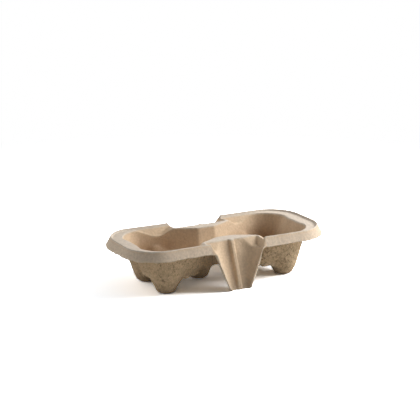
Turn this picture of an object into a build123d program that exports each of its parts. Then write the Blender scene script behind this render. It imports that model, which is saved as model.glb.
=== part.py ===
from build123d import *
import os
from math import cos, radians, tan

os.makedirs("parts", exist_ok=True)

# A two-cup carrier tray moulded as one sheet of fibre. Millimetres, +Z up, origin on the
# floor under the middle of the tray, cups side by side along X.

# Sheet and overall form
sheet = 2.0  # thickness of the moulded fibre
tray_height = 47.0  # floor to the flat ledge around the cups
rim_length = 215.0  # outer line of the ledge, along X
rim_width = 94.6  # outer line of the ledge, along Y
rim_corner = 33.0  # corner radius of that line
skirt_height = 7.5  # drop of the skirt below the ledge
skirt_slope = 27.0  # degrees from upright
bead_height = 2.1  # raised lip along the rim's outer line
bead_width = 3.2  # at the ledge

# Gutter legs at the middle of each long side
gutter_depth = 16.1  # rim's outer line to the ridge strip
gutter_half_width = 29.0  # at ledge level
gutter_corner = 22.0
leg_half_width = 11.8  # at the floor
leg_corner = 3.0
leg_splay = 1.0  # how far the leg's inner face lies outside the rim's line at the floor
trim_slope = 2.2  # degrees from upright of the trimmed leg edges
mouth_flare = 2.2  # chamfered mouth of the gutter at the lip's top, beyond the gutter's side
mouth_taper = 6.7  # side reach of the chamfer
mouth_reach = 7.3  # inner reach of the chamfer, from the ridge strip
mouth_depth = 7.5  # below the ledge
rib_width = 4.6  # at its root
rib_crest = 2.4
rib_height = 1.8
strip_drop = 0.8  # top of the rib below the ridge strip
strip_width = 11.7  # ridge strip at the channel
strip_end = 1.5  # ridge strip where it meets the cup openings

# Cup openings and the channel between them
ledge_end = 14.0  # ledge between each opening and the rim's line, at the far end
ledge_side = 6.0  # the same along the sides
opening_corner = 30.0
opening_end_dent = 2.5  # how far each opening's end bows inward at the middle
waist_half_length = 9.3
strip_reach = 2.2  # ridge strip's corner beyond the gutter's side
shoulder_reach = 15.0  # corner of the opening's edge beside the dip, beyond the gutter's side
shoulder_inset = 3.1
shoulder_run = 11.0
wall_draft = 11.0  # degrees from upright, front and back walls

# Feet: each cup pocket stands on two outer lobes and one inner lobe
cup_reach = 42.5  # cup's centre to the far end of its opening
outer_foot_reach = 16.0  # along X from the cup's centre
inner_foot_reach = 31.0
foot_inset = 19.8  # along Y from the opening's side
foot_radius = 9.0
foot_rounding = 4.5
inner_foot_lift = 2.5  # the inner lobes stop short of the floor
lobe_draft = 22.5
web_height = 11.0  # underside of the webs that join the lobes
web_radius = 25.0
web_draft = 24.0
channel_height = 17.0  # underside of the channel floor

# Dips in the ledge beside each gutter
dip_depth = 7.2
dip_length = 40.0  # from the gutter's side
dip_lean = 4.0  # lean of its inner end
dip_floor_start = 13.0  # from the gutter's side
dip_floor_length = 9.4
dip_margin = 3.5  # ledge kept along the rim's line
dip_edge = 3.3  # how far the dip cuts into the cup opening
dip_floor_margin = 8.9
dip_floor_width = (5.8, 3.8)  # at its near and far ends

# Places that follow from the sizes above
overshoot = 1.0  # lets a hollow pass right through the face it opens on
gutter_inner_y = rim_width / 2 - gutter_depth
leg_inner_y = rim_width / 2 + leg_splay
notch_half_width = gutter_half_width + mouth_flare
mouth_half_width = notch_half_width - mouth_taper
mouth_inner_y = gutter_inner_y + mouth_reach
waist_half_width = gutter_inner_y - strip_width
opening_end = rim_length / 2 - ledge_end
opening_half_width = rim_width / 2 - ledge_side
strip_corner = (gutter_half_width + strip_reach, gutter_inner_y - strip_end)
shoulder_corner = (gutter_half_width + shoulder_reach, opening_half_width - shoulder_inset)
cup_centre_x = opening_end - cup_reach
outer_foot = (cup_centre_x + outer_foot_reach, opening_half_width - foot_inset)
inner_foot_x = cup_centre_x - inner_foot_reach
dip_outer_y = rim_width / 2 - dip_margin
dip_floor_y = rim_width / 2 - dip_floor_margin
dip_floor_x = gutter_half_width + dip_floor_start
dip_floor_end = dip_floor_x + dip_floor_length
dip_top = (
    (gutter_half_width, dip_outer_y),
    (gutter_half_width + dip_lean, gutter_inner_y - strip_reach),
    (gutter_half_width + dip_length, opening_half_width - dip_edge),
    (gutter_half_width + dip_length, dip_outer_y),
)
dip_floor = (
    (dip_floor_x, dip_floor_y),
    (dip_floor_x + dip_lean * dip_floor_width[0] / gutter_depth, dip_floor_y - dip_floor_width[0]),
    (dip_floor_end, dip_floor_y - dip_floor_width[1]),
    (dip_floor_end, dip_floor_y),
)

DOWN = (0, 0, -1)


def rim_outline(grow, mode=Mode.ADD):
    """Rounded oblong of the rim's outer line, grown by the given distance."""
    length = rim_length + 2 * grow
    width = rim_width + 2 * grow
    return RectangleRounded(length, width, rim_corner + grow, mode=mode)


def cone(centre, radius, draft, base, grow):
    """A lobe that widens upward from its foot to above the ledge."""
    rise = tray_height + overshoot - base
    with BuildPart() as lobe:
        with BuildSketch(Plane.XY.offset(base)):
            with Locations(centre):
                Circle(radius + grow / cos(radians(draft)))
        extrude(amount=rise, taper=-draft)
        fillet(lobe.edges().sort_by(Axis.Z)[0], foot_rounding + grow)
    return lobe.part


def opening_wall(grow):
    """The drafted walls of both cup openings and the channel, as one solid."""
    with BuildPart() as wall:
        with BuildSketch(Plane.XY.offset(tray_height)):
            with BuildLine():
                edge = Polyline(
                    (0, waist_half_width),
                    (waist_half_length, waist_half_width),
                    strip_corner,
                    shoulder_corner,
                    (shoulder_corner[0] + shoulder_run, opening_half_width),
                    (opening_end - opening_corner, opening_half_width),
                )
                corner = TangentArc(
                    edge @ 1,
                    (opening_end, opening_half_width - opening_corner),
                    tangent=(1, 0),
                )
                Line(corner @ 1, (opening_end - opening_end_dent, 0))
                Line((opening_end - opening_end_dent, 0), (0, 0))
                Line((0, 0), (0, waist_half_width))
            make_face()
            mirror(about=Plane.XZ)
            mirror(about=Plane.YZ)
            if grow:
                offset(amount=grow, kind=Kind.INTERSECTION)
        extrude(amount=tray_height + overshoot, dir=DOWN, taper=wall_draft)
    return wall.part


def cup_space(grow):
    """The hollow of both pockets and the channel, grown by the given distance."""
    base = sheet - grow
    with BuildPart() as space:
        for side in (1, -1):
            middle = side * cup_centre_x
            for x, y, lift in (
                (outer_foot[0], outer_foot[1], 0),
                (outer_foot[0], -outer_foot[1], 0),
                (inner_foot_x, 0, inner_foot_lift),
            ):
                add(cone((side * x, y), foot_radius - sheet, lobe_draft, base + lift, grow))
            with BuildSketch(Plane.XY.offset(web_height + base)):
                with Locations((middle, 0)):
                    Circle(web_radius - sheet + grow)
            extrude(amount=tray_height + overshoot - web_height - base, taper=-web_draft)
        with BuildSketch(Plane.XY.offset(channel_height + base)):
            Rectangle(2 * inner_foot_x, 4 * waist_half_width)
        extrude(amount=tray_height + overshoot - channel_height - base)
        add(opening_wall(grow), mode=Mode.INTERSECT)
    return space.part


def gutter_section(level, half_width, inner_y, corner, grow):
    """A U-shaped section of the gutter, open on its outer side."""
    half = half_width + grow
    y = inner_y - grow
    r = corner + grow
    with BuildSketch(Plane.XY.offset(level)) as section:
        with BuildLine():
            left = Line((-half, rim_width), (-half, y + r))
            turn = TangentArc(left @ 1, (-half + r, y), tangent=(0, -1))
            across = Line(turn @ 1, (half - r, y))
            back = TangentArc(across @ 1, (half, y + r), tangent=(1, 0))
            out = Line(back @ 1, (half, rim_width))
            Line(out @ 1, left @ 0)
        make_face()
    return section.sketch.face()


def mouth_section(level, half_width, inner_y, grow):
    """A rectangular section of the gutter's chamfered mouth."""
    with BuildSketch(Plane.XY.offset(level)) as section:
        with BuildLine():
            Polyline(
                (-half_width - grow, rim_width),
                (-half_width - grow, inner_y - grow),
                (half_width + grow, inner_y - grow),
                (half_width + grow, rim_width),
                close=True,
            )
        make_face()
    return section.sketch.face()


def gutter_space(grow):
    """The hollow outside one ridge: a tapering gutter with a chamfered mouth."""
    foot = gutter_section(0, leg_half_width - sheet, leg_inner_y + sheet, leg_corner, grow)
    top = gutter_section(tray_height, gutter_half_width, gutter_inner_y, gutter_corner, grow)
    mouth_foot = mouth_section(
        tray_height - mouth_depth - grow, mouth_half_width, mouth_inner_y, grow / 2
    )
    lip_reach = mouth_reach * bead_height / mouth_depth
    mouth_top = mouth_section(
        tray_height + bead_height, notch_half_width, gutter_inner_y - lip_reach, grow
    )
    with BuildPart() as space:
        loft([foot, top], ruled=True)
        loft([mouth_foot, mouth_top], ruled=True)
    return space.part


def dip_space(grow):
    """One dip in the ledge beside a gutter, a frustum with sloping faces."""
    with BuildPart() as space:
        for outline, level in (
            (dip_floor, tray_height - dip_depth - grow),
            (dip_top, tray_height),
        ):
            with BuildSketch(Plane.XY.offset(level)):
                with BuildLine():
                    Polyline(*outline, close=True)
                make_face()
                if grow:
                    offset(amount=grow, kind=Kind.INTERSECTION)
        loft(ruled=True)
    return space.part


def rim_shell():
    """The flat ledge with the skirt that slopes down around it."""
    ledge = Plane.XY.offset(tray_height)
    slope = radians(skirt_slope)
    inset = sheet / cos(slope) - sheet * tan(slope)
    with BuildPart() as shell:
        with BuildSketch(ledge):
            rim_outline(0)
        extrude(amount=skirt_height, dir=DOWN, taper=-skirt_slope)
        with BuildSketch(ledge.offset(-sheet)):
            rim_outline(-inset)
        extrude(amount=skirt_height, dir=DOWN, taper=-skirt_slope, mode=Mode.SUBTRACT)
    return shell.part


def all_spaces(grow):
    """Every hollow above the sheet: cups and channel, both gutters and the four dips."""
    gutter = gutter_space(grow)
    dip = dip_space(grow)
    with BuildPart() as spaces:
        add(cup_space(grow))
        add(gutter)
        add(mirror(gutter, about=Plane.XZ, mode=Mode.PRIVATE))
        for half in (dip, mirror(dip, about=Plane.YZ, mode=Mode.PRIVATE)):
            add(half)
            add(mirror(half, about=Plane.XZ, mode=Mode.PRIVATE))
    return spaces.part


def trim_body():
    """The space inside the trimmed edge: the skirt's slope, then nearly upright to the floor."""
    with BuildPart() as body:
        with BuildSketch(Plane.XY.offset(tray_height)):
            rim_outline(0)
        extrude(amount=skirt_height, dir=DOWN, taper=-skirt_slope)
        with BuildSketch(Plane.XY.offset(tray_height - skirt_height)):
            rim_outline(skirt_height * tan(radians(skirt_slope)))
        extrude(amount=tray_height - skirt_height, dir=DOWN, taper=-trim_slope)
    return body.part


def rim_bead():
    """The raised lip along the rim's outer line; its outer face carries on the skirt's slope."""
    base = Plane.XY.offset(tray_height)
    with BuildPart() as bead:
        with BuildSketch(base):
            rim_outline(0)
        extrude(amount=bead_height, taper=skirt_slope)
        with BuildSketch(base):
            rim_outline(-bead_width)
        extrude(amount=bead_height, taper=-skirt_slope, mode=Mode.SUBTRACT)
    return bead.part


def gutter_rib():
    """The upright rib down the middle of a gutter, wider at its root."""
    foot_y = leg_inner_y + sheet
    with BuildPart() as rib:
        for level, face_y, height in (
            (0, foot_y, rib_height / 2),
            (tray_height - strip_drop, gutter_inner_y, rib_height),
        ):
            with BuildSketch(Plane.XY.offset(level)):
                with BuildLine():
                    Polyline(
                        (-rib_width / 2, face_y - sheet / 2),
                        (rib_width / 2, face_y - sheet / 2),
                        (rib_crest / 2, face_y + height),
                        (-rib_crest / 2, face_y + height),
                        close=True,
                    )
                make_face()
        loft(ruled=True)
    return rib.part


with BuildPart() as carrier_tray:
    add(all_spaces(sheet))
    add(trim_body(), mode=Mode.INTERSECT)
    add(rim_shell())
    add(rim_bead())
    add(all_spaces(0), mode=Mode.SUBTRACT)
    rib = gutter_rib()
    add(rib)
    add(mirror(rib, about=Plane.XZ, mode=Mode.PRIVATE))

carrier_tray.part.label = "carrier_tray"
export_step(carrier_tray.part, "parts/carrier_tray.step")
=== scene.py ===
from math import cos, radians, tan

import bmesh
import bpy
import numpy as np
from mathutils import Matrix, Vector


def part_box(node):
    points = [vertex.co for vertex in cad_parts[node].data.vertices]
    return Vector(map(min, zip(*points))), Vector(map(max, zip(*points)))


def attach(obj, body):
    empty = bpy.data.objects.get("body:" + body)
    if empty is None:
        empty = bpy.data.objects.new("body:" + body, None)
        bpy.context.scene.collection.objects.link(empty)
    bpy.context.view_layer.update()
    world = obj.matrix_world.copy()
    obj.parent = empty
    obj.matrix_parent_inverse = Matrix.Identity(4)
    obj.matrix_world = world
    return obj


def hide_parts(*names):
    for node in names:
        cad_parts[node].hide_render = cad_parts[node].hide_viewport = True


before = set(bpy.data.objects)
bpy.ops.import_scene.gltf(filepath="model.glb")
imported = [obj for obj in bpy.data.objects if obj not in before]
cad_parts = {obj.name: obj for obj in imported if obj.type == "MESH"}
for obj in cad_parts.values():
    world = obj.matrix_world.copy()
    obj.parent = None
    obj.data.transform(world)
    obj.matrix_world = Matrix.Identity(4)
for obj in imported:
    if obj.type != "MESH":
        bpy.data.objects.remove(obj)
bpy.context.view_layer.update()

bl_info = {
    "name": "Moulded fibre cup carrier",
    "version": (1, 0, 0),
    "blender": (4, 5, 0),
    "location": "View3D > Sidebar > Cup carrier",
    "description": "Builds a two-cup carrier tray of moulded fibre and its studio stage",
    "category": "Add Mesh",
}

NODE = "carrier_tray"
LOW, HIGH = (np.array(corner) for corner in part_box(NODE))

# Form of the sheet, in metres, in the frame of the CAD model.
SHEET = 0.002
LEDGE = 0.047
RIM = (0.1075, 0.0473, 0.033)  # half length, half width, corner radius of the rim's outer line
SKIRT_DROP = 0.0075
SKIRT_TURN = radians(27.0)
SKIRT_RUN = tan(SKIRT_TURN)  # outward run of the skirt for each unit of drop
SKIRT_REACH = SKIRT_DROP * SKIRT_RUN
TRIM_RUN = tan(radians(2.2))  # outward run of the trimmed leg edges for each unit of drop
OPENING = (0.0945, 0.0413, 0.030)
WAIST = (0.0093, 0.0195)
STRIP_CORNER = (0.0312, 0.0297)
SHOULDER = (0.0440, 0.0382)
SHOULDER_END = (0.0550, 0.0413)
WALL_RUN = tan(radians(11.0))
END_RUN = tan(radians(17.0))  # the same at the far ends
OUTER_FOOT = (0.067, 0.0215)
INNER_FOOT = 0.020
INNER_LIFT = 0.0025
FOOT_RADIUS = 0.007
LOBE_RUN = tan(radians(22.5))
CUP_X = 0.051
WEB = (0.013, 0.025, tan(radians(24.0)))  # level, radius and run of the pocket's middle cone
CHANNEL_LEVEL = 0.019
BEAD_HEIGHT = 0.0021
BEAD_WIDTH = 0.0032
GUTTER_FOOT = (0.0098, 0.0503, 0.003)  # half width, inner line, corner radius at the floor
GUTTER_TOP = (0.029, 0.0312, 0.022)
MOUTH_TOP = (0.0298, 0.0312)
MOUTH_FOOT = (0.0262, 0.0385)
MOUTH_DROP = 0.0075
DIP_TOP = (0.029, 0.069, 0.0438)
DIP_FOOT = (0.042, 0.0514, 0.0384)
DIP_LEAN = (0.9742, 0.2259)  # normal of the dip's inner end
DIP_DROP = 0.0072
RIB = (0.0034, 0.0022, 0.0031, 0.0520)  # half width, run of its side, height, outer end
SPINE = 0.052  # half length of the line that the grid's rays start from

# Heights over which the creases between the faces are rounded.
LIP_ROUND = 0.0008
SKIRT_ROUND = 0.0010
POCKET_ROUND = 0.0022
GUTTER_ROUND = 0.0004
DIP_ROUND = 0.0014

RAYS = 440
STEPS = 108
FINE = 900  # samples along a ray before it is divided


def smooth_min(a, b, k):
    """The lower of two heights, with their crossing rounded over the height k."""
    h = np.maximum(k - np.abs(a - b), 0.0) / k
    return np.minimum(a, b) - h * h * k / 4


def smooth_max(a, b, k):
    """The higher of two heights, with their crossing rounded over the height k."""
    return -smooth_min(-a, -b, k)


def lattice_noise(points, size, seed):
    """Value noise from -1 to 1: hashed lattice values at spacing size, smoothly blended."""
    p = points / size
    cell = np.floor(p).astype(np.int64)
    f = p - cell
    f = f * f * (3 - 2 * f)
    total = np.zeros(len(p))
    for corner in range(8):
        step = np.array([corner & 1, corner >> 1 & 1, corner >> 2 & 1])
        c = cell + step
        h = (c[:, 0] * 73856093) ^ (c[:, 1] * 19349663) ^ (c[:, 2] * 83492791) ^ (seed * 7919)
        h = (h ^ (h >> 13)) * 1274126177 & 0x7FFFFFFF
        value = (h ^ (h >> 16)) % 65536 / 32767.5 - 1
        weight = np.prod(np.where(step == 1, f, 1 - f), axis=1)
        total += weight * value
    return total


def box_distance(x, y, half_x, half_y, radius):
    """Signed distance to a rounded rectangle, negative inside."""
    qx = np.abs(x) - (half_x - radius)
    qy = np.abs(y) - (half_y - radius)
    outside = np.hypot(np.maximum(qx, 0), np.maximum(qy, 0))
    return outside + np.minimum(np.maximum(qx, qy), 0) - radius


def line_side(x, y, a, b):
    """Signed distance above the line from a to b."""
    dx, dy = b[0] - a[0], b[1] - a[1]
    return ((y - a[1]) * dx - (x - a[0]) * dy) / np.hypot(dx, dy)


def opening_distance(x, y):
    """Signed distance to the outline of the cup openings and channel, in one quadrant."""
    waist = smooth_min(y - WAIST[1], line_side(x, y, WAIST, STRIP_CORNER), 0.0008)
    waist = smooth_min(waist, line_side(x, y, STRIP_CORNER, SHOULDER), 0.004)
    cap = smooth_max(waist, line_side(x, y, SHOULDER, SHOULDER_END), 0.006)
    end = box_distance(x, y, *OPENING)
    dent = x - OPENING[0] + 0.0025 * np.maximum(1 - y / 0.012, 0)
    return smooth_max(cap, smooth_max(end, dent, 0.001), 0.004)


def lobe(x, y, centre, radius, run, level, rounding):
    """Height of a cone that widens upward from a flat foot."""
    r = np.hypot(x - centre[0], y - centre[1])
    return smooth_max(np.full_like(r, level), level + (r - radius) / run, rounding)


def cup_height(x, y, grow):
    """Pockets and channel: the lowest of the lobes, web and channel floor, cut by the walls."""
    level = SHEET - grow
    foot = FOOT_RADIUS + grow * 1.08
    floor = lobe(x, y, OUTER_FOOT, foot, LOBE_RUN, level, 0.006)
    inner = lobe(x, y, (INNER_FOOT, 0.0), foot, LOBE_RUN, level + INNER_LIFT, 0.006)
    web = lobe(x, y, (CUP_X, 0.0), WEB[1] + grow, WEB[2], WEB[0] - grow, 0.004)
    channel = CHANNEL_LEVEL - grow + np.maximum(x - INNER_FOOT, 0) * 0.45
    floor = smooth_min(floor, inner, 0.006)
    floor = smooth_min(floor, web, 0.010)
    floor = smooth_min(floor, channel, 0.009)
    run = WALL_RUN + (END_RUN - WALL_RUN) * smooth_step(x, 0.066, 0.090)
    walls = LEDGE + (opening_distance(x, y) - grow) / run
    return smooth_max(walls, floor, 0.004)


def gutter_height(x, y, grow):
    """The tapering U-shaped gutter: at each point, the level whose section passes through it.

    A section is a rounded box between GUTTER_FOOT at the floor and GUTTER_TOP at the ledge; the
    level is found by halving.
    """
    low = np.full_like(x, -0.02)
    high = np.full_like(x, 0.08)
    for _ in range(26):
        mid = (low + high) / 2
        t = mid / LEDGE
        half, inner, r = (a + (b - a) * t for a, b in zip(GUTTER_FOOT, GUTTER_TOP))
        r = np.maximum(r, 0.001) + grow
        qx = x - (half + grow - r)
        qy = (inner - grow + r) - y
        d = np.hypot(np.maximum(qx, 0), np.maximum(qy, 0)) + np.minimum(np.maximum(qx, qy), 0) - r
        inside = d < 0
        high = np.where(inside, mid, high)
        low = np.where(inside, low, mid)
    return (low + high) / 2


def mouth_height(x, y, grow):
    """The chamfered mouth of the gutter: two sloping faces above a small ledge."""
    drop = MOUTH_DROP + grow
    side = MOUTH_TOP[0] + grow - x
    inner = y - MOUTH_TOP[1] + grow
    side_width = MOUTH_TOP[0] - MOUTH_FOOT[0] + grow / 2
    inner_width = MOUTH_FOOT[1] - MOUTH_TOP[1] + grow / 2
    slope = smooth_min(side / side_width, inner / inner_width, 0.35)
    return LEDGE - drop * smooth_min(slope, np.ones_like(slope), 0.12)


def dip_height(x, y, grow):
    """The dip beside a gutter: three sloping faces down to a small floor."""
    drop = DIP_DROP + grow
    lean = (x - DIP_TOP[0]) * DIP_LEAN[0] + (y - DIP_TOP[2]) * DIP_LEAN[1] + grow
    lean_width = (DIP_FOOT[0] - DIP_TOP[0]) * DIP_LEAN[0] + (DIP_FOOT[2] - DIP_TOP[2]) * DIP_LEAN[1]
    far = (DIP_TOP[1] + grow - x) / (DIP_TOP[1] - DIP_FOOT[1])
    outer = (DIP_TOP[2] + grow - y) / (DIP_TOP[2] - DIP_FOOT[2])
    slope = smooth_min(smooth_min(lean / lean_width, far, 0.1), outer, 0.1)
    slope = smooth_min(slope, np.ones_like(slope), 0.15)
    inside = y > STRIP_CORNER[1] - 0.001 - grow
    return np.where(inside, LEDGE - drop * slope, 1.0)


def sheet_height(px, py, grow):
    """Height of the sheet's upper face, or with grow = SHEET of its underside.

    The lowest of the ledge with its lip, the skirt, the pockets, the gutter and the dips. The
    underside has the same hollows grown by the thickness. A rib moves the gutter's back wall.
    """
    x, y = np.abs(px), np.abs(py)
    d = box_distance(x, y, *RIM)
    lip = smooth_min((d + BEAD_WIDTH) / SKIRT_RUN, np.full_like(d, BEAD_HEIGHT), LIP_ROUND)
    lip = smooth_max(lip, np.zeros_like(d), 0.0006)
    ledge = LEDGE - grow + (lip if grow == 0 else 0)
    inset = grow * (1 / cos(SKIRT_TURN) - SKIRT_RUN)
    skirt = LEDGE - grow - (d + inset) / SKIRT_RUN
    z = smooth_min(np.broadcast_to(ledge, x.shape), skirt, SKIRT_ROUND)
    z = smooth_min(z, cup_height(x, y, grow), POCKET_ROUND)
    near = (x < 0.040) & (y > 0.024)
    gutter = np.full_like(x, 1.0)
    rib_half, rib_side, rib_height, rib_end = RIB
    rib = np.clip((rib_half - x) / rib_side, 0, 1)
    rib = rib * rib * (3 - 2 * rib) * rib_height
    rib = rib * np.clip((rib_end - y) / 0.003, 0, 1) * (grow == 0)
    gx, gy = x[near], (y - rib)[near]
    gutter[near] = smooth_min(gutter_height(gx, gy, grow), mouth_height(gx, gy, grow), 0.0015)
    z = np.where(near, smooth_min(z, gutter, GUTTER_ROUND), z)
    return smooth_min(z, dip_height(x, y, grow), DIP_ROUND)


def outline_points(count):
    """Rays as start and end points: ends evenly spaced round the rim, closer at the gutters.

    One quarter of the outline, from the middle of a long side to the middle of an end, is
    measured along its length and mirrored; the starts lie on the spine.
    """
    half_x, half_y, r = (v + SKIRT_REACH for v in RIM)
    side = half_x - r
    arc = np.linspace(0, np.pi / 2, 600)[1:]
    xs = np.concatenate([np.linspace(0, side, 600), side + r * np.sin(arc), [half_x]])
    ys = np.concatenate([np.full(600, half_y), half_y - r + r * np.cos(arc), [0.0]])
    step = np.hypot(np.diff(xs), np.diff(ys))
    middle = (xs[1:] + xs[:-1]) / 2
    weight = 1 + 1.6 * np.clip((0.036 - middle) / 0.003, 0, 1) + 1.6 * (middle < 0.0045)
    s = np.concatenate([[0], np.cumsum(step * weight)])
    quarter = count // 4
    even = np.linspace(0, s[-1], quarter + 1)
    qx, qy = np.interp(even, s, xs), np.interp(even, s, ys)
    x = np.concatenate([qx, qx[-2::-1], -qx[1:], -qx[-2:0:-1]])
    y = np.concatenate([qy, -qy[-2::-1], -qy[1:], qy[-2:0:-1]])
    start = np.clip(x * SPINE / side, -SPINE, SPINE)
    return np.stack([start, np.zeros_like(x)], 1), np.stack([x, y], 1)


def face_grid(grow):
    """One face of the sheet as a grid of rays by steps.

    Each ray is sampled finely from the spine outward and ends at the trimmed edge, then its
    steps are spaced by the length of the profile plus a share for how sharply it turns.
    """
    start, end = outline_points(RAYS)
    fine = np.linspace(0, 1.06, FINE)
    x = start[:, :1] + (end - start)[:, :1] * fine
    y = start[:, 1:] + (end - start)[:, 1:] * fine
    z = sheet_height(x.ravel(), y.ravel(), grow).reshape(x.shape)
    d = box_distance(x, y, *RIM)
    angle = np.stack([end[:, 0], end[:, 1], np.zeros(len(end))], 1)
    ragged = 0.00016 * lattice_noise(angle, 0.0030, 5) + 0.00022 * lattice_noise(angle, 0.009, 6)
    ragged += 0.0009 * np.exp(-(((end[:, 0] + 0.0135) / 0.0007) ** 2)) * (end[:, 1] < 0)
    leg = np.clip((0.027 - np.abs(end[:, 0])) / 0.004, 0, 1)[:, None] * (np.abs(end[:, 1:]) > 0.03)
    reach = SKIRT_REACH - grow / cos(SKIRT_TURN) * (1 - leg) + ragged[:, None]
    below = np.maximum(LEDGE - SKIRT_DROP - z, 0) * TRIM_RUN
    past = (d > reach + below * leg) | (z < 0.0)
    past[:, -1] = True
    stop = np.argmax(past, axis=1)
    rows = np.arange(RAYS)
    limit = fine[stop]
    inside = np.arange(FINE) <= stop[:, None]
    length = np.hypot(np.diff(x, axis=1), np.diff(y, axis=1))
    rise = np.diff(z, axis=1)
    slope = np.arctan2(rise, np.maximum(length, 1e-9))
    turn = np.abs(np.diff(slope, axis=1, prepend=slope[:, :1]))
    weight = np.hypot(length, rise) + 0.0022 * turn + 0.0001 * length / length.max()
    weight = np.where(inside[:, 1:], weight, 0)
    kernel = np.array([1, 2, 3, 2, 1]) / 9
    weight = sum(k * np.roll(weight, i - 2, axis=0) for i, k in enumerate(kernel))
    weight = np.where(inside[:, 1:], weight, 0)
    s = np.concatenate([np.zeros((RAYS, 1)), np.cumsum(weight, axis=1)], axis=1)
    s /= s[:, -1:]
    s += np.linspace(0, 1e-6, FINE)
    s /= s[rows, stop][:, None]
    s = np.where(inside, s, 1 + 1e-6 * np.arange(FINE))
    base = rows[:, None] * 4.0
    even = np.linspace(0, 1, STEPS) + base
    t = np.interp(even.ravel(), (np.minimum(s, 3) + base).ravel(), np.broadcast_to(fine, s.shape).ravel())
    t = np.minimum(t.reshape(RAYS, STEPS), limit[:, None])
    gx = start[:, :1] + (end - start)[:, :1] * t
    gy = start[:, 1:] + (end - start)[:, 1:] * t
    gz = sheet_height(gx.ravel(), gy.ravel(), grow).reshape(gx.shape)
    return np.stack([gx, gy, gz], 2)


def face_normals(points, grow):
    """Unit normals from central differences of the sheet's height."""
    e = 0.0003
    x, y = points[..., 0].ravel(), points[..., 1].ravel()
    dx = (sheet_height(x + e, y, grow) - sheet_height(x - e, y, grow)) / (2 * e)
    dy = (sheet_height(x, y + e, grow) - sheet_height(x, y - e, grow)) / (2 * e)
    n = np.stack([-dx, -dy, np.ones_like(dx)], 1)
    n /= np.linalg.norm(n, axis=1)[:, None]
    return n.reshape(points.shape)


def smooth_step(value, low, high):
    """0 below low, 1 above high, smooth between."""
    t = np.clip((value - low) / (high - low), 0, 1)
    return t * t * (3 - 2 * t)


def wrinkle(points, normals, amount):
    """Moves points along their normals by a height for each point."""
    return points + normals * amount.reshape(points.shape[0], points.shape[1], 1)


def top_relief(points):
    """Relief of the smooth face: faint waves, and short wrinkles down the skirt."""
    flat = points.reshape(-1, 3)
    height = 0.00004 * lattice_noise(flat, 0.0016, 11) + 0.00012 * lattice_noise(flat, 0.007, 12)
    x, y = np.abs(flat[:, 0]), np.abs(flat[:, 1])
    d = box_distance(x, y, *RIM)
    skirt = smooth_step(d, 0.0004, SKIRT_REACH) * (x > 0.030)
    around = flat * (1, 1, 0.25)
    height += 0.00020 * skirt * lattice_noise(around, 0.0024, 13)
    notch = np.exp(-(((x - 0.034) / 0.004) ** 2) - ((flat[:, 1] + 0.050) / 0.004) ** 2)
    height += 0.00045 * notch * lattice_noise(flat, 0.0022, 14)
    return height


def crumbs(points):
    """Where the webs meet the lobes low down, the fibre is torn into crumbs, which the colour also lightens
    as a painted highlight: 0 to 1.
    """
    r = np.hypot(np.abs(points[:, 0]) - CUP_X, points[:, 1])
    ring = smooth_step(r, 0.0195, 0.0225) * (1 - smooth_step(r, 0.0265, 0.0295))
    z = points[:, 2]
    return ring * smooth_step(z, 0.0075, 0.010) * (1 - smooth_step(z, 0.0145, 0.018))


def under_relief(points):
    """Relief of the rough face: lumps and ridged wrinkles, stronger toward the feet."""
    flat = points.reshape(-1, 3)
    lumps = 0.00022 * lattice_noise(flat, 0.0026, 21) + 0.00025 * lattice_noise(flat, 0.006, 22)
    ridges = 1 - np.abs(lattice_noise(flat, 0.0048, 23)) * 2
    low = 0.6 + 0.6 * smooth_step(-flat[:, 2], -0.022, -0.004)
    height = (lumps + 0.00018 * np.maximum(ridges, 0) ** 2) * low
    height += 0.0009 * crumbs(flat) * lattice_noise(flat, 0.0019, 24)
    return np.where(flat[:, 2] < 0.0006, np.minimum(height, 0), height)


def tray_arrays(relief, unevenness):
    """Vertices and faces of the moulding as one closed sheet, with its colour attributes."""
    top = face_grid(0.0)
    under = face_grid(SHEET)
    top_normals, under_normals = face_normals(top, 0.0), face_normals(under, SHEET)
    top = wrinkle(top, top_normals, relief * top_relief(top))
    under = wrinkle(under, under_normals, -relief * under_relief(under))
    both = np.concatenate([top.reshape(-1, 3), under.reshape(-1, 3)])
    warp = unevenness * lattice_noise(both * (1, 1, 0), 0.05, 31)
    both[:, 2] += warp * np.clip(both[:, 2] / 0.02, 0, 1)
    both[:, 2] = np.maximum(both[:, 2], 0.0)
    both = np.clip(both, LOW, HIGH)
    index = np.arange(RAYS * STEPS).reshape(RAYS, STEPS)
    nxt = np.roll(index, -1, axis=0)
    quads = np.stack([index[:, :-1], nxt[:, :-1], nxt[:, 1:], index[:, 1:]], 2).reshape(-1, 4)
    lower = quads[:, ::-1] + RAYS * STEPS
    a, b = index[:, -1], nxt[:, -1]
    rim = np.stack([a, b, b + RAYS * STEPS, a + RAYS * STEPS], 1)
    side = np.concatenate([np.zeros(RAYS * STEPS), np.ones(RAYS * STEPS)])
    x, y = np.abs(both[:, 0]), np.abs(both[:, 1])
    d = box_distance(x, y, *RIM)
    ledge = smooth_step(both[:, 2], LEDGE - 0.0016, LEDGE - 0.0002)
    skirt = smooth_step(d, -0.0008, 0.0006) * (x > 0.030)
    edge = np.zeros((2, RAYS, STEPS))
    edge[:, :, -1] = 1
    edge[:, :, -2] = 0.4
    return both, np.concatenate([quads, lower, rim]), {
        "underside": side,
        "ledge": np.maximum(ledge * (d < -0.0006), skirt * 0.5) * (1 - side),
        # The crumb ring, which the colour lightens as torn fibre and as a painted highlight.
        "crumb_and_highlight": crumbs(both) * side,
        "edge": edge.ravel(),
    }


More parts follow.
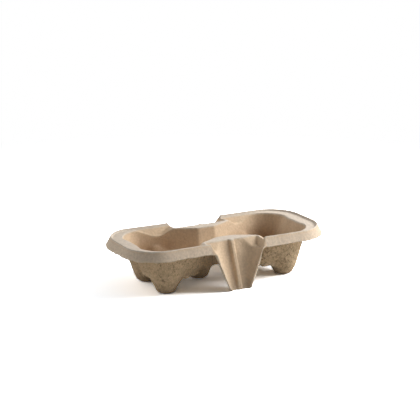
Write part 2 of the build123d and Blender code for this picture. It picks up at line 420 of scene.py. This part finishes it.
def build_tray(relief, unevenness):
    """The moulding's mesh object."""
    points, faces, values = tray_arrays(relief, unevenness)
    mesh = bpy.data.meshes.new("moulded_tray")
    mesh.from_pydata(points, [], faces)
    for name, value in values.items():
        attribute = mesh.attributes.new(name, "FLOAT", "POINT")
        attribute.data.foreach_set("value", value)
    work = bmesh.new()
    work.from_mesh(mesh)
    bmesh.ops.remove_doubles(work, verts=work.verts, dist=1e-6)
    bmesh.ops.recalc_face_normals(work, faces=work.faces)
    work.to_mesh(mesh)
    work.free()
    mesh.polygons.foreach_set("use_smooth", np.ones(len(mesh.polygons), dtype=bool))
    tray = bpy.data.objects.new("moulded_tray", mesh)
    bpy.context.collection.objects.link(tray)
    return tray


class Value:
    """A shader socket with arithmetic; each operation adds one Math node."""

    def __init__(self, graph, socket):
        self.graph = graph
        self.socket = socket

    def math(self, operation, *inputs):
        """One Math node on the given inputs."""
        node = self.graph.tree.nodes.new("ShaderNodeMath")
        node.operation = operation
        for socket, value in zip(node.inputs, inputs):
            self.graph.feed(socket, value)
        return Value(self.graph, node.outputs[0])

    def __add__(self, other):
        return self.math("ADD", self, other)

    def __sub__(self, other):
        return self.math("SUBTRACT", self, other)

    def __mul__(self, other):
        return self.math("MULTIPLY", self, other)

    def __truediv__(self, other):
        return self.math("DIVIDE", self, other)

    def __radd__(self, other):
        return self.math("ADD", other, self)

    def __rsub__(self, other):
        return self.math("SUBTRACT", other, self)

    def __rmul__(self, other):
        return self.math("MULTIPLY", other, self)

    def __rtruediv__(self, other):
        return self.math("DIVIDE", other, self)

    def between(self, low, high):
        """0 below low, 1 above high, smooth between."""
        node = self.graph.node(
            "ShaderNodeMapRange",
            {"interpolation_type": "SMOOTHSTEP"},
            {"Value": self, "From Min": low, "From Max": high},
        )
        return Value(self.graph, node.outputs["Result"])


class Graph:
    """The node tree of a material or world, emptied, with its surface output."""

    def __init__(self, owner):
        owner.use_nodes = True
        self.tree = owner.node_tree
        self.tree.nodes.clear()
        kind = "World" if isinstance(owner, bpy.types.World) else "Material"
        self.output = self.tree.nodes.new("ShaderNodeOutput" + kind)

    def feed(self, socket, value):
        """Links a socket or sets its plain value."""
        if isinstance(value, Value):
            self.tree.links.new(value.socket, socket)
        elif isinstance(value, bpy.types.NodeSocket):
            self.tree.links.new(value, socket)
        else:
            socket.default_value = value

    def node(self, kind, settings, inputs):
        """Adds a node: its settings first, then its inputs by name or number."""
        node = self.tree.nodes.new(kind)
        for name, value in settings.items():
            setattr(node, name, value)
        for name, value in inputs.items():
            self.feed(node.inputs[name], value)
        return node

    def noise(self, vector, scale, detail=2.0, distortion=0.0):
        """Noise about 0.5 on a position vector."""
        node = self.node(
            "ShaderNodeTexNoise",
            {},
            {"Vector": vector, "Scale": scale, "Detail": detail, "Distortion": distortion},
        )
        return Value(self, node.outputs["Fac"])

    def attribute(self, name):
        """A point attribute of the mesh."""
        node = self.node("ShaderNodeAttribute", {"attribute_name": name}, {})
        return Value(self, node.outputs["Fac"])

    def blend(self, factor, first, second):
        """A colour between two colours."""
        node = self.node(
            "ShaderNodeMix", {"data_type": "RGBA"}, {"Factor": factor, 6: first, 7: second}
        )
        return node.outputs[2]

    def tint(self, colour, amount):
        """A colour multiplied by a number."""
        node = self.node("ShaderNodeVectorMath", {"operation": "SCALE"}, {0: colour, "Scale": amount})
        return node.outputs[0]


def fibre_material(finish):
    """Moulded fibre: fine and pale on the pressed face, rough and flecked underneath."""
    material = bpy.data.materials.new("moulded_fibre")
    g = Graph(material)
    place = g.node("ShaderNodeTexCoord", {}, {}).outputs["Object"]
    axes = g.node("ShaderNodeSeparateXYZ", {}, {"Vector": place})
    x, y, z = (Value(g, axes.outputs[i]) for i in range(3))
    under = g.attribute("underside")
    ledge = g.attribute("ledge")
    edge = g.attribute("edge")
    crumb_and_highlight = g.attribute("crumb_and_highlight")

    grain = g.noise(place, 1500.0, 3.0) - 0.5
    mottle = g.noise(place, 420.0, 4.0) - 0.5
    blotch = g.noise(place, 60.0, 3.0) - 0.5
    stretched = g.node("ShaderNodeVectorMath", {"operation": "MULTIPLY"}, {0: place, 1: (1.0, 1.0, 0.35)})
    fleck = g.noise(stretched.outputs[0], 620.0, 2.0, 1.2).between(0.56, 0.70)
    crease = g.noise(place, 210.0, 3.0, 1.5) - 0.5
    crease = 1.0 - (crease.math("ABSOLUTE", crease) * 16.0).between(0.0, 1.0)

    wave = x.math("PINGPONG", x + 0.004 * mottle, 0.0045)
    rows = z.math("FRACT", (z + wave * 1.3) / 0.0072)
    rows = rows.math("ABSOLUTE", rows - 0.5)
    cracks = 1.0 - rows.between(0.0, 0.16)
    cracks = cracks * (y * -1.0).between(0.010, 0.024) * x.between(0.030, 0.040) * under
    cracks = cracks * g.noise(place, 90.0, 2.0).between(0.40, 0.56) * z.between(0.006, 0.014)

    inner = g.blend(blotch + 0.5, finish.inner_dark, finish.inner_light)
    flat = g.blend(blotch + 0.5, finish.ledge_dark, finish.ledge_light)
    outer = g.blend(blotch + 0.5, finish.outer_dark, finish.outer_light)
    # Painted shade: low down in the pockets the pressed face is darkened toward a deep brown, which stands
    # in for the shade there.
    pocket = x.math("ABSOLUTE", x).between(0.026, 0.040) * (1.0 - z.between(0.014, 0.043))
    inner = g.blend(pocket * 0.9, inner, finish.painted_pocket_shade)
    colour = g.blend(ledge, inner, flat)
    colour = g.blend(under, colour, outer)
    # The crumbs are lightened toward the torn tone: partly the torn fibre's own colour, partly a painted
    # highlight on the lit lower lobes.
    torn = crumb_and_highlight * g.noise(place, 420.0, 2.0).between(0.38, 0.50)
    colour = g.blend(torn, colour, finish.torn)
    colour = g.blend(edge * 0.7, colour, finish.cut)
    rough = 0.55 + 0.45 * under
    shade = 1.0 + grain * 0.55 * rough + mottle * 0.8 * rough
    # Painted shade near the floor: the lowest 16 mm of every face is darkened by up to 16%.
    shade = shade * (0.84 + 0.16 * z.between(0.0, 0.016))
    # Pleats down the skirt: one stretched noise both bumps the skirt and paints light and dark stripes into
    # its colour, a painted shading of the wrinkles.
    pleat_and_painted_shade = g.node("ShaderNodeVectorMath", {"operation": "MULTIPLY"}, {0: place, 1: (1.0, 1.0, 0.22)})
    pleat_and_painted_shade = (g.noise(pleat_and_painted_shade.outputs[0], 520.0, 2.0) - 0.5) * ledge * (1.0 - z.between(0.0415, 0.046))
    shade = shade * (1.0 + pleat_and_painted_shade * 0.9)
    shade = shade * (1.0 - fleck * under * 0.45) * (1.0 - crease * under * 0.25) * (1.0 - cracks * 0.42)
    colour = g.tint(colour, shade)

    relief = grain * rough * 0.5 + mottle * rough + blotch * 0.6
    relief = relief - crease * under * 0.5 - cracks * 1.6 - fleck * under * 0.3 + pleat_and_painted_shade * 2.2
    bump = g.node("ShaderNodeBump", {}, {"Strength": 0.9, "Distance": finish.fibre_depth, "Height": relief})
    surface = g.node(
        "ShaderNodeBsdfPrincipled",
        {},
        {"Base Color": colour, "Roughness": 0.92, "Normal": bump.outputs[0], "Specular IOR Level": 0.2},
    )
    g.feed(g.output.inputs["Surface"], surface.outputs[0])
    return material


def floor_material(paint, white):
    """A matt floor: paint for the light it returns, white for the rays that show it.

    Away from the tray the rays that show it find a plain white sweep.
    """
    material = bpy.data.materials.new("floor_white")
    g = Graph(material)
    path = g.node("ShaderNodeLightPath", {}, {}).outputs
    seen = Value(g, path["Is Camera Ray"])
    seen = seen.math("MAXIMUM", seen, path["Is Glossy Ray"])
    seen = seen.math("MAXIMUM", seen, path["Is Transmission Ray"])
    unseen = g.node("ShaderNodeBsdfDiffuse", {}, {"Color": (paint, paint, paint, 1)})
    near = g.node("ShaderNodeBsdfDiffuse", {}, {"Color": (white * 0.97, white, white * 1.03, 1)})
    far = g.node("ShaderNodeEmission", {}, {"Color": (1, 1, 1, 1), "Strength": 1.0})
    place = g.node("ShaderNodeTexCoord", {}, {}).outputs["Object"]
    reach = Value(g, g.node("ShaderNodeVectorMath", {"operation": "LENGTH"}, {0: place}).outputs["Value"])
    sweep = g.node(
        "ShaderNodeMixShader",
        {},
        {"Fac": reach.between(0.30, 0.70), 1: near.outputs[0], 2: far.outputs[0]},
    )
    surface = g.node(
        "ShaderNodeMixShader", {}, {"Fac": seen, 1: unseen.outputs[0], 2: sweep.outputs[0]}
    )
    g.feed(g.output.inputs["Surface"], surface.outputs[0])
    return material


def studio_world(strength, lean):
    """An even light, stronger from behind: strength times one plus lean times the direction's y."""
    world = bpy.data.worlds.new("studio")
    world.use_nodes = True
    g = Graph(world)
    way = g.node("ShaderNodeTexCoord", {}, {}).outputs["Generated"]
    y = Value(g, g.node("ShaderNodeSeparateXYZ", {}, {"Vector": way}).outputs["Y"])
    seen = g.node("ShaderNodeLightPath", {}, {}).outputs["Is Camera Ray"]
    level = Value(g, seen).math("MAXIMUM", seen, strength * (1.0 + lean * y))
    sky = g.node("ShaderNodeBackground", {}, {"Color": (1, 1, 1, 1), "Strength": level})
    g.feed(g.output.inputs["Surface"], sky.outputs[0])
    return world


def area_light(name, place, power, size):
    """A square lamp that faces the origin."""
    lamp = bpy.data.lights.new(name, "AREA")
    lamp.energy = power
    lamp.size = size
    piece = bpy.data.objects.new(name, lamp)
    piece.location = place
    piece.rotation_euler = (-Vector(place)).to_track_quat("-Z", "Y").to_euler()
    bpy.context.collection.objects.link(piece)


def colour_property(name, description, value):
    """A colour that the user may change."""
    return bpy.props.FloatVectorProperty(
        name=name, description=description, default=(*value, 1.0), size=4, subtype="COLOR", min=0, max=1
    )


class CarrierTraySettings(bpy.types.PropertyGroup):
    """Finish of the moulding"""

    inner_dark: colour_property("Inner, dark", "Darker tone of the pressed face", (0.58, 0.435, 0.295))
    inner_light: colour_property("Inner, light", "Lighter tone of the pressed face", (0.65, 0.495, 0.34))
    ledge_dark: colour_property("Ledge, dark", "Darker tone of the flat ledge", (0.565, 0.485, 0.40))
    ledge_light: colour_property("Ledge, light", "Lighter tone of the flat ledge", (0.62, 0.535, 0.445))
    outer_dark: colour_property("Outer, dark", "Darker tone of the rough face", (0.56, 0.405, 0.245))
    outer_light: colour_property("Outer, light", "Lighter tone of the rough face", (0.67, 0.49, 0.30))
    # Painted shade: the brown toward which the pockets' lower walls are darkened.
    painted_pocket_shade: colour_property("Deep", "Tone low down in the pockets", (0.34, 0.205, 0.115))
    # Torn tone: partly torn fibre, partly a painted highlight.
    torn: colour_property("Torn", "Tone of the torn fibre at the webs", (0.88, 0.69, 0.47))
    cut: colour_property("Cut", "Tone of the trimmed edge", (0.76, 0.63, 0.48))

    relief: bpy.props.FloatProperty(
        name="Relief",
        description="Strength of the lumps and wrinkles in the mesh",
        default=1.0,
        min=0.0,
        soft_max=2.0,
    )
    unevenness: bpy.props.FloatProperty(
        name="Unevenness",
        description="Height by which the whole sheet gently waves",
        default=0.0004,
        min=0.0,
        unit="LENGTH",
    )
    fibre_depth: bpy.props.FloatProperty(
        name="Fibre depth",
        description="Depth of the fine fibre relief in the shader",
        default=0.0004,
        min=0.0,
        unit="LENGTH",
    )


class CarrierStageSettings(bpy.types.PropertyGroup):
    """Floor, lights and camera"""

    floor_size: bpy.props.FloatProperty(
        name="Floor size", description="Side of the floor", default=20.0, unit="LENGTH"
    )
    floor_gap: bpy.props.FloatProperty(
        name="Floor gap",
        description="Distance of the floor below the feet",
        default=0.0001,
        unit="LENGTH",
    )
    floor_paint: bpy.props.FloatProperty(
        name="Floor paint", description="Grey of the floor as the object sees it", default=0.72
    )
    floor_white: bpy.props.FloatProperty(
        name="Floor white", description="Grey of the floor as the camera sees it", default=2.7
    )
    sky: bpy.props.FloatProperty(name="Sky", description="Strength of the even light", default=0.235)
    sky_lean: bpy.props.FloatProperty(
        name="Sky lean",
        description="Share by which the even light is stronger from behind than from the front",
        default=0.9,
        subtype="FACTOR",
    )
    key_place: bpy.props.FloatVectorProperty(
        name="Key place",
        description="Place of the key light, which faces the origin",
        default=(0.64, -0.17, 0.51),
        size=3,
        subtype="TRANSLATION",
    )
    key_power: bpy.props.FloatProperty(
        name="Key power", description="Power of the key light", default=10.4, unit="POWER"
    )
    key_size: bpy.props.FloatProperty(
        name="Key size", description="Side of the key light", default=0.55, unit="LENGTH"
    )
    side_place: bpy.props.FloatVectorProperty(
        name="Side place",
        description="Place of the side light, which faces the origin",
        default=(-0.78, 0.52, 0.40),
        size=3,
        subtype="TRANSLATION",
    )
    side_power: bpy.props.FloatProperty(
        name="Side power", description="Power of the side light", default=3.8, unit="POWER"
    )
    side_size: bpy.props.FloatProperty(
        name="Side size", description="Side of the side light", default=0.9, unit="LENGTH"
    )
    camera_place: bpy.props.FloatVectorProperty(
        name="Camera place",
        description="Place of the camera",
        default=(-0.6570, -1.1985, 0.4312),
        size=3,
        subtype="TRANSLATION",
    )
    camera_target: bpy.props.FloatVectorProperty(
        name="Camera target",
        description="Point that the camera looks at",
        default=(0.0178, 0.0442, 0.0565),
        size=3,
        subtype="TRANSLATION",
    )
    lens: bpy.props.FloatProperty(
        name="Lens", description="Focal length in millimetres", default=120.9, unit="CAMERA"
    )


class CARRIER_OT_tray(bpy.types.Operator):
    """Build the moulded fibre tray in place of the plain CAD solid"""

    bl_idname = "carrier.tray"
    bl_label = "Moulded tray"

    def execute(self, context):
        finish = context.scene.carrier_tray
        tray = build_tray(finish.relief, finish.unevenness)
        tray.data.materials.append(fibre_material(finish))
        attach(tray, "root")
        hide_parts(NODE)
        return {"FINISHED"}


class CARRIER_OT_stage(bpy.types.Operator):
    """Set the pale floor, the soft lights and the camera"""

    bl_idname = "carrier.stage"
    bl_label = "Studio stage"

    def execute(self, context):
        stage = context.scene.carrier_stage
        bpy.ops.mesh.primitive_plane_add(size=stage.floor_size, location=(0, 0, -stage.floor_gap))
        floor = context.object
        floor.name = "floor"
        floor.data.materials.append(floor_material(stage.floor_paint, stage.floor_white))
        context.scene.world = studio_world(stage.sky, stage.sky_lean)
        area_light("key", stage.key_place, stage.key_power, stage.key_size)
        area_light("side", stage.side_place, stage.side_power, stage.side_size)
        data = bpy.data.cameras.new("camera")
        camera = bpy.data.objects.new("camera", data)
        context.collection.objects.link(camera)
        data.sensor_width = 36
        data.lens = stage.lens
        camera.location = stage.camera_place
        target = Vector(stage.camera_target)
        camera.rotation_euler = (target - camera.location).to_track_quat("-Z", "Y").to_euler()
        context.scene.camera = camera
        context.scene.view_settings.view_transform = "Standard"
        return {"FINISHED"}


class CARRIER_PT_panel(bpy.types.Panel):
    """Buttons that build the carrier and its stage"""

    bl_idname = "CARRIER_PT_panel"
    bl_label = "Cup carrier"
    bl_space_type = "VIEW_3D"
    bl_region_type = "UI"
    bl_category = "Cup carrier"

    def draw(self, context):
        """The settings of each operator, then its button."""
        for settings, command in (
            (context.scene.carrier_stage, "carrier.stage"),
            (context.scene.carrier_tray, "carrier.tray"),
        ):
            for name in settings.bl_rna.properties.keys():
                if name not in ("rna_type", "name"):
                    self.layout.prop(settings, name)
            self.layout.operator(command)


CLASSES = (
    CarrierTraySettings,
    CarrierStageSettings,
    CARRIER_OT_tray,
    CARRIER_OT_stage,
    CARRIER_PT_panel,
)


def register():
    """Adds the classes and the two groups of settings."""
    for item in CLASSES:
        bpy.utils.register_class(item)
    bpy.types.Scene.carrier_tray = bpy.props.PointerProperty(type=CarrierTraySettings)
    bpy.types.Scene.carrier_stage = bpy.props.PointerProperty(type=CarrierStageSettings)


def unregister():
    """Takes them away again."""
    del bpy.types.Scene.carrier_stage
    del bpy.types.Scene.carrier_tray
    for item in reversed(CLASSES):
        bpy.utils.unregister_class(item)


def main():
    """Builds the stage and the tray."""
    register()
    bpy.ops.carrier.stage()
    bpy.ops.carrier.tray()


if __name__ == "__main__":
    main()
